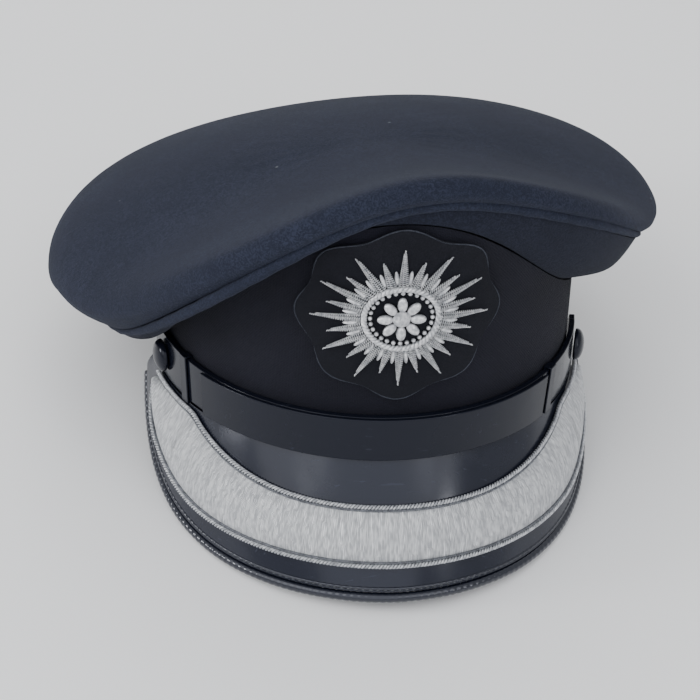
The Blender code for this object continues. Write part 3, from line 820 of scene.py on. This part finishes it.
def seat_on_band(piece):
    """Moves the faces that look in at the head outwards from the leather, onto the band."""
    bpy.ops.object.mode_set(mode="EDIT")
    bpy.ops.mesh.select_mode(type="FACE")
    bpy.ops.mesh.select_all(action="DESELECT")
    bpy.ops.object.mode_set(mode="OBJECT")
    for face in piece.data.polygons:
        side = cap_inverse.to_3x3() @ face.normal
        middle = cap_inverse @ face.center
        face.select = side.x * middle.x + side.y * middle.y < FACING_IN
    bpy.ops.object.mode_set(mode="EDIT")
    bpy.ops.transform.shrink_fatten(value=STRAP_SEAT)
    bpy.ops.object.mode_set(mode="OBJECT")


for node in ("strap_under", "strap_over", "keeper_left", "keeper_right"):
    piece = smooth_copy(node, node + "_leather", levels=0)
    if node == "strap_under":
        seat_on_band(piece)
    soft = piece.modifiers.new("soft edge", "BEVEL")
    soft.width, soft.segments = SOFT_WIDTH, SOFT_CUTS
    soft.limit_method, soft.angle_limit = "ANGLE", SHARP
    pick(piece)
    bpy.ops.object.modifier_apply(modifier=soft.name)
    bpy.ops.object.shade_smooth_by_angle(angle=STRAP_SMOOTH_UNDER)
    keep(piece, strap_patent, "black_patent", node)
for node in ("button_left", "button_right"):
    keep(smooth_copy(node, node + "_dome", ROUNDED_TWICE, BUTTON_CREASE), strap_patent,
         "black_patent", node)

# %% [markdown]
# The badge lies on the raised front, which is part of a leaning cone. A small function turns a
# place measured on the cloth into a point of that cone, so the badge can be laid out flat, ray by
# ray.

# %% Badge layout
FRONT_LEAN, BADGE_HEIGHT, FELT_TOP = math.radians(9.0), 0.0635, 0.0018
SMALL_STEP = 0.001


def on_front(across, rise, out):
    """A point on the front: across and up from the badge's middle, and out from the cloth."""
    turn = across / (HALF_WIDTH + BADGE_HEIGHT * math.tan(FRONT_LEAN))
    height = BADGE_HEIGHT + rise
    ahead = Vector((math.sin(turn) / HALF_WIDTH, -math.cos(turn) / HALF_LENGTH, 0.0)).normalized()
    lean = FRONT_LEAN * math.cos(turn) ** 2
    point = Vector((HALF_WIDTH * math.sin(turn), -HALF_LENGTH * math.cos(turn), 0.0))
    point += ahead * (height * math.tan(lean) + out * math.cos(lean))
    point.z = height - out * math.sin(lean)
    return cap @ point


def badge_place(across, rise, out, turn=0.0):
    """A place on the front: x across, y up the cloth and z out of it, turned in its own plane."""
    origin = on_front(across, rise, out)
    x = (on_front(across + SMALL_STEP, rise, out) - origin).normalized()
    z = (on_front(across, rise, out + SMALL_STEP) - origin).normalized()
    y = z.cross(x)
    frame_turn = Matrix((x, y, z)).transposed().to_4x4()
    return Matrix.Translation(origin) @ frame_turn @ Matrix.Rotation(turn, 4, "Z")


print("badge middle", tuple(round(c, 3) for c in on_front(0, 0, FELT_TOP)))

# %% [markdown]
# The badge is worked on a piece of black felt, cut with plain scallops. Its cut edge catches the
# light as a thin lighter line, so two fine strands of a paler felt, a painted highlight, are laid
# along it.

# %% Badge felt
FELT_WIDE, FELT_HIGH, FELT_LOBES, LOBE_DEPTH = 0.037, 0.034, 8, 0.05
FELT_CUTS, EDGE_SUNK = 144, 0.0003


def around(count, first=0.0, closed=False):
    """Angles evenly round a full turn. A closed row ends where it began."""
    return [2 * math.pi * (k + first) / count for k in range(count + closed)]


keep(smooth_copy("badge_backing", "badge_felt", ROUNDED_TWICE), black_felt, "black_cloth",
     "badge_backing")
felt_edge_line = []
for turn in around(FELT_CUTS, closed=True):
    scallop = 1.0 + LOBE_DEPTH * math.cos(FELT_LOBES * turn)
    felt_edge_line.append(on_front(FELT_WIDE * scallop * math.cos(turn),
                                   FELT_HIGH * scallop * math.sin(turn), FELT_TOP - EDGE_SUNK))
# These strands carry the painted highlight of the felt's cut edge.
felt_edge = wound("felt_edge", [felt_edge_line], radius=0.00012, thickness=0.00042, pitch=0.0015,
                  strands=2, fineness=0)
keep(felt_edge, painted_highlight_felt, "black_cloth")

# %% [markdown]
# The rays are bullion: hollow coils of fine wire, cut to length and sewn down side by side. Each
# ray is three coils, the middle one longest, and long and short rays take turns round the oval.

# %% Badge rays
RAYS, SHORT_RAY = 24, 0.84
WIDE, HIGH, INNER, INNER_FLAT = 0.0325, 0.0285, 0.0128, 0.95
COIL_GAP, COIL_CLOSING, SIDE_COIL, COIL_POINTS = 0.00135, 0.88, 0.90, 6
COIL_RISE, MIDDLE_RISE = 0.0008, 0.0005
ray_lines = []
for ray, turn in enumerate(around(RAYS)):
    reach = 1.0 if ray % 2 == 0 else SHORT_RAY
    tip = Vector((WIDE * reach * math.cos(turn), HIGH * reach * math.sin(turn)))
    start = Vector((INNER * math.cos(turn), INNER * INNER_FLAT * math.sin(turn)))
    aside = Vector((-math.sin(turn), math.cos(turn)))
    for offset, length in ((-1, SIDE_COIL), (0, 1.0), (1, SIDE_COIL)):
        rise = FELT_TOP + COIL_RISE + (MIDDLE_RISE if offset == 0 else 0.0)
        line = []
        for t in np.linspace(0.0, length, COIL_POINTS):
            flat = start.lerp(tip, t) + aside * offset * COIL_GAP * (1.0 - COIL_CLOSING * t)
            line.append(on_front(flat.x, flat.y, rise))
        ray_lines.append(line)
badge_rays = wound("badge_rays", ray_lines, radius=0.00050, thickness=0.00046, pitch=0.00085,
                   strands=1, fineness=0, per_turn=8, taper=0.70)
keep(badge_rays, badge_silver, "silver_thread", "badge")

# %% [markdown]
# Between two rays lies a short padded leaf. It fills the gap at their feet, where the felt would
# otherwise show through as a dark notch.

# %% Badge leaves
LEAF_HALF_SIZES, LEAF_RISE = (0.0030, 0.00085, 0.0009), 0.0004
LEAF_ACROSS, LEAF_UP = 0.0182, 0.0168
places = [badge_place(LEAF_ACROSS * math.cos(turn), LEAF_UP * math.sin(turn),
                      FELT_TOP + LEAF_RISE, turn) for turn in around(RAYS, first=0.5)]
badge_leaves = repeated("badge_leaves", rounded_form(12, 8, LEAF_HALF_SIZES), places)
keep(badge_leaves, badge_silver, "silver_thread")

# %% [markdown]
# Two rings close the inner ends of the rays: a twisted cord, and inside it a row of small round
# spangles, each a bead sewn down on its own.

# %% Badge rings
RING_RADIUS, RING_RISE, RING_CUTS = 0.0132, 0.0012, 48
BEADS, BEAD_HALF, BEAD_RISE = 28, 0.0009, 0.0006
BEAD_ACROSS, BEAD_UP = 0.0111, 0.0106
ring_line = [on_front(RING_RADIUS * math.cos(turn), RING_RADIUS * INNER_FLAT * math.sin(turn),
                      FELT_TOP + RING_RISE) for turn in around(RING_CUTS, closed=True)]
badge_ring = wound("badge_ring", [ring_line], radius=0.0006, thickness=0.0013, pitch=0.0032,
                   strands=2, fineness=2)
keep(badge_ring, badge_silver, "silver_thread")
places = [badge_place(BEAD_ACROSS * math.cos(turn), BEAD_UP * math.sin(turn),
                      FELT_TOP + BEAD_RISE) for turn in around(BEADS)]
badge_beads = repeated("badge_beads", rounded_form(10, 6, (BEAD_HALF,) * 3), places)
keep(badge_beads, badge_silver, "silver_thread")

# %% [markdown]
# The middle is a flower of eight padded petals round a domed eye. The eye is one wire wound in a
# spiral that climbs as it closes, as bullion is coiled up over a pad.

# %% Badge flower
PETALS, PETAL_HALF_SIZES, PETAL_AHEAD, PETAL_RISE = 8, (0.0031, 0.0019, 0.0016), 0.0061, 0.0013
EYE_STEPS, EYE_TURN, EYE_RADIUS, EYE_CLOSING = 90, 0.42, 0.0030, 92
EYE_BASE, EYE_HEIGHT = 0.0014, 0.0024
places = [badge_place(0.0, 0.0, FELT_TOP + PETAL_RISE, turn) for turn in around(PETALS)]
badge_petals = repeated("badge_petals", rounded_form(16, 10, PETAL_HALF_SIZES, PETAL_AHEAD), places)
keep(badge_petals, badge_silver, "silver_thread")
eye_line = []
for k in range(EYE_STEPS):
    turn = k * EYE_TURN
    radius = EYE_RADIUS * (1.0 - k / EYE_CLOSING)
    eye_line.append(on_front(radius * math.cos(turn), radius * math.sin(turn),
                             FELT_TOP + EYE_BASE + EYE_HEIGHT * k / EYE_STEPS))
badge_eye = wound("badge_eye", [eye_line], radius=0.0003, thickness=0.0005, pitch=0.0011, strands=2)
keep(badge_eye, badge_silver, "silver_thread")

# %% [markdown]
# The floor is plain and pale. Four broad soft lamps light the cap from above: a key from the left,
# a cool one in front that draws the long reflection on the peak, a weaker fill from the right, and
# one behind for the top of the crown. Two small low lamps only put glints on the rolled rim and
# the strap. An even sky keeps the shadows open.

# %% Studio
FLOOR_SIZE, FLOOR_DARK, FLOOR_LIGHT = 6.0, opaque(0.93, 0.93, 0.93), opaque(0.95, 0.95, 0.95)
SKY_COLOUR, SKY_STRENGTH = opaque(0.95, 0.97, 1.0), 0.68
WHITE, COOL = (1.0, 1.0, 1.0), (0.92, 0.94, 1.0)
LAMPS = (  # name, place, height aimed at, size, power, colour
    ("key", (-1.5, -0.75, 1.5), 0.08, 2.2, 17.0, WHITE),
    ("front", (-0.25, -1.5, 1.55), 0.08, 3.3, 24.0, COOL),
    ("fill", (1.05, -1.2, 1.5), 0.08, 1.3, 4.0, WHITE),
    ("rear", (0.2, 1.3, 1.6), 0.12, 1.8, 11.0, WHITE),
    ("glint_left", (-1.85, -0.12, 0.60), 0.03, 0.50, 10.0, WHITE),
    ("glint_right", (1.2, -1.5, 0.75), 0.03, 0.30, 2.4, WHITE),
)
bpy.ops.mesh.primitive_plane_add(size=FLOOR_SIZE, location=(0, 0, 0))
floor = bpy.context.object
floor.name = "floor"
floor_finish, tree, shader, place = finish("studio_floor", Roughness=0.9)
paper = add(tree, "TexNoise", {"Vector": place["Object"], "Scale": 3.0, "Detail": 3.0})[0]
tree.links.new(blend_colour(tree, paper, FLOOR_DARK, FLOOR_LIGHT), shader["Base Color"])
floor.data.materials.append(floor_finish)
for name, place, aim_height, size, power, colour in LAMPS:
    bpy.ops.object.light_add(type="AREA", location=place)
    lamp = bpy.context.object
    lamp.name = name
    lamp.data.shape = "DISK"
    lamp.data.size = size
    lamp.data.energy = power
    lamp.data.color = colour
    aim = Vector((0, 0, aim_height)) - Vector(place)
    lamp.rotation_euler = aim.to_track_quat("-Z", "Y").to_euler()
world = bpy.data.worlds.new("studio")
bpy.context.scene.world = world
world.use_nodes = True
sky = world.node_tree.nodes["Background"].inputs
sky["Color"].default_value = SKY_COLOUR
sky["Strength"].default_value = SKY_STRENGTH
print("studio has", len(LAMPS), "lamps")
